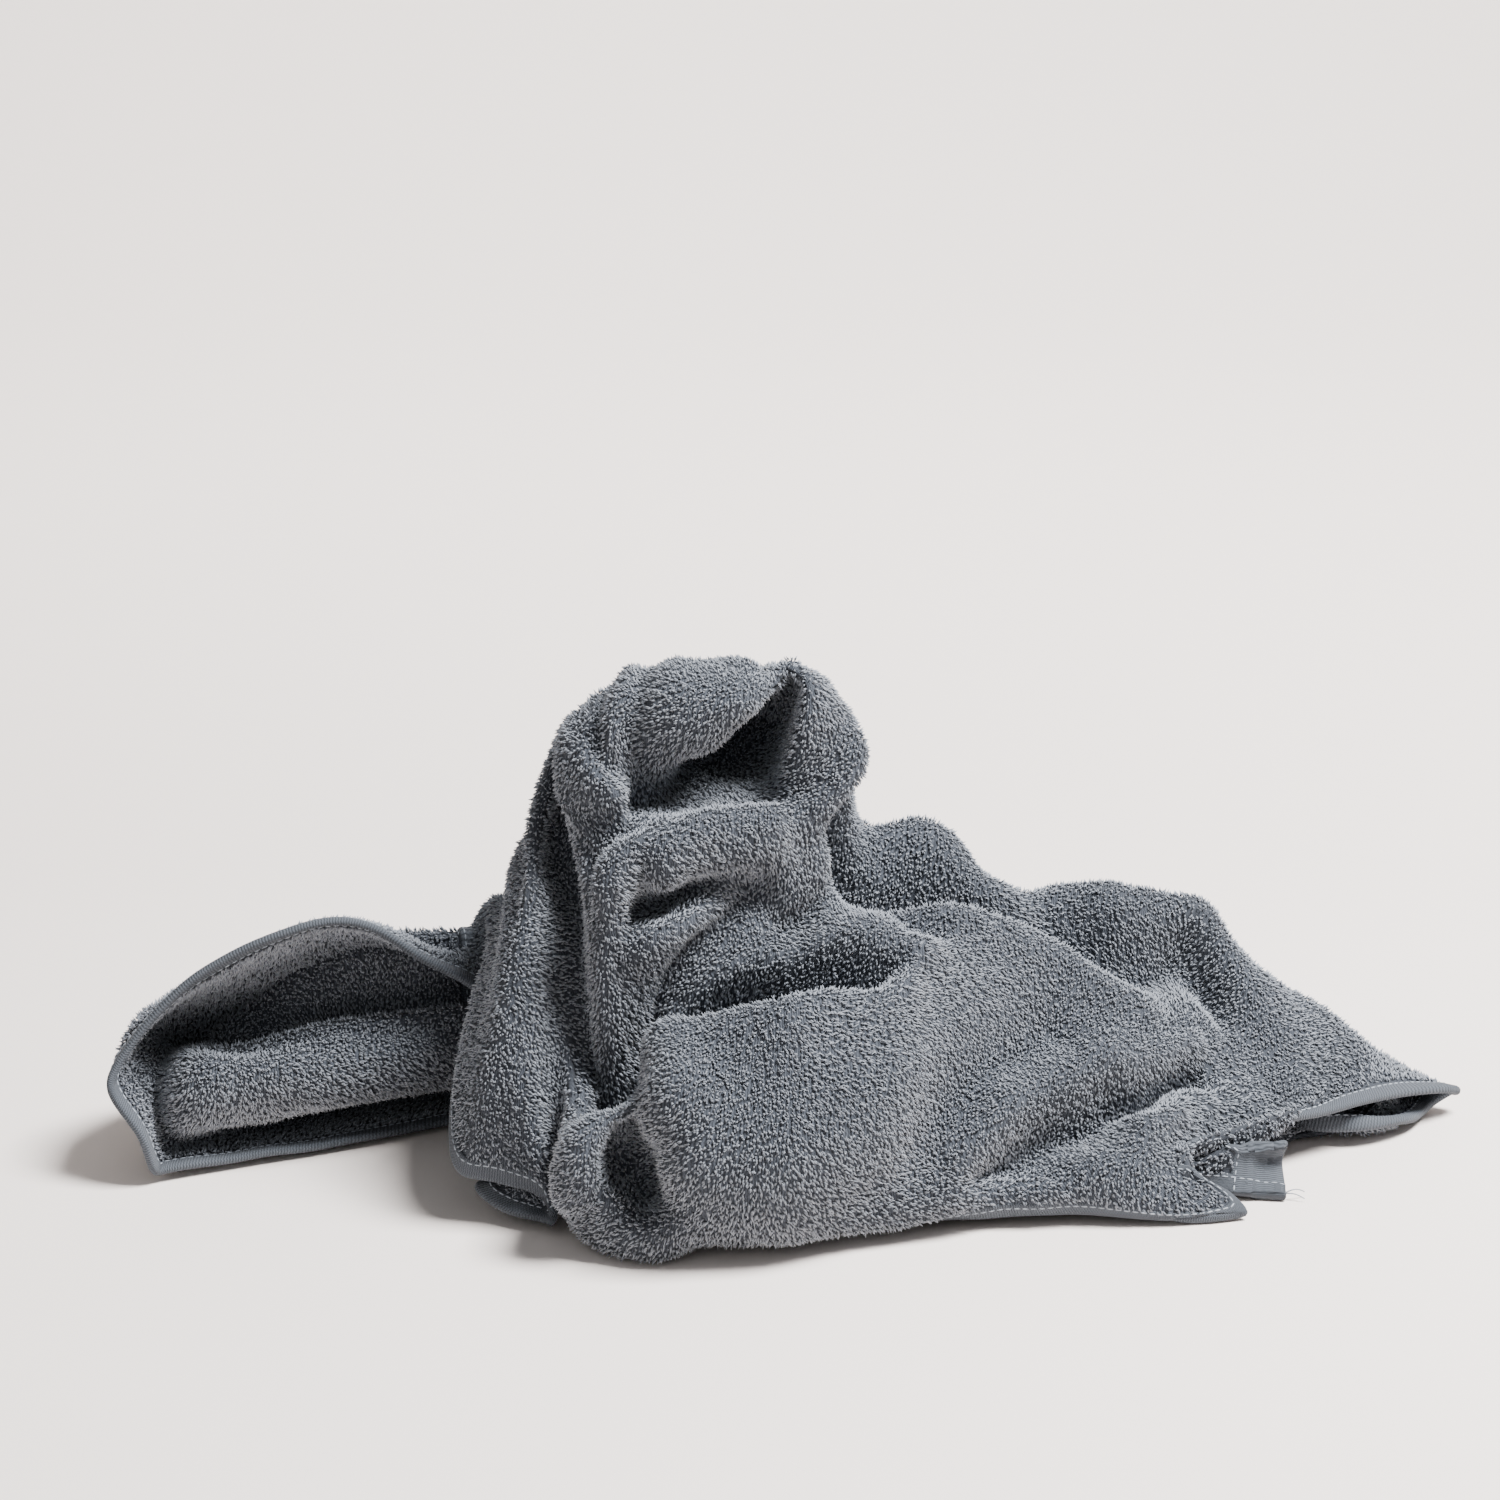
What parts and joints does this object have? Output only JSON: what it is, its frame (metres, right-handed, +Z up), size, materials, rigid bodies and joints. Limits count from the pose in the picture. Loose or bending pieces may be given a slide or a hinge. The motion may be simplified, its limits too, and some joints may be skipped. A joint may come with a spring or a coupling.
{
  "type": "bath towel",
  "caption": "Terry bath towel dropped in a loose heap, pinched up at its centre, with flat-woven hems along its four edges.",
  "frame": {"origin": "on the floor, at the middle of the flat underside", "axes": "+Z up; +X along the heap's long side, from the open lobe to the flat corner; -Y is the front, where the fullest fold comes forward"},
  "size_m": [0.688, 0.3619, 0.262],
  "materials": {
    "terry": "matte looped cotton pile, slate grey",
    "flat_woven": "matte fine-ribbed flat weave, slate grey",
    "thread": "twisted polyester sewing thread, light slate grey"
  },
  "bodies": {
    "root": {"terry_panel": "terry", "side_hem_front": "flat_woven", "side_hem_back": "flat_woven", "end_hem_left": "flat_woven", "end_hem_right": "flat_woven", "stitching_front": "thread", "stitching_back": "thread", "stitching_left": "thread", "stitching_right": "thread", "thread_tails": "thread"}
  },
  "joints": []
}
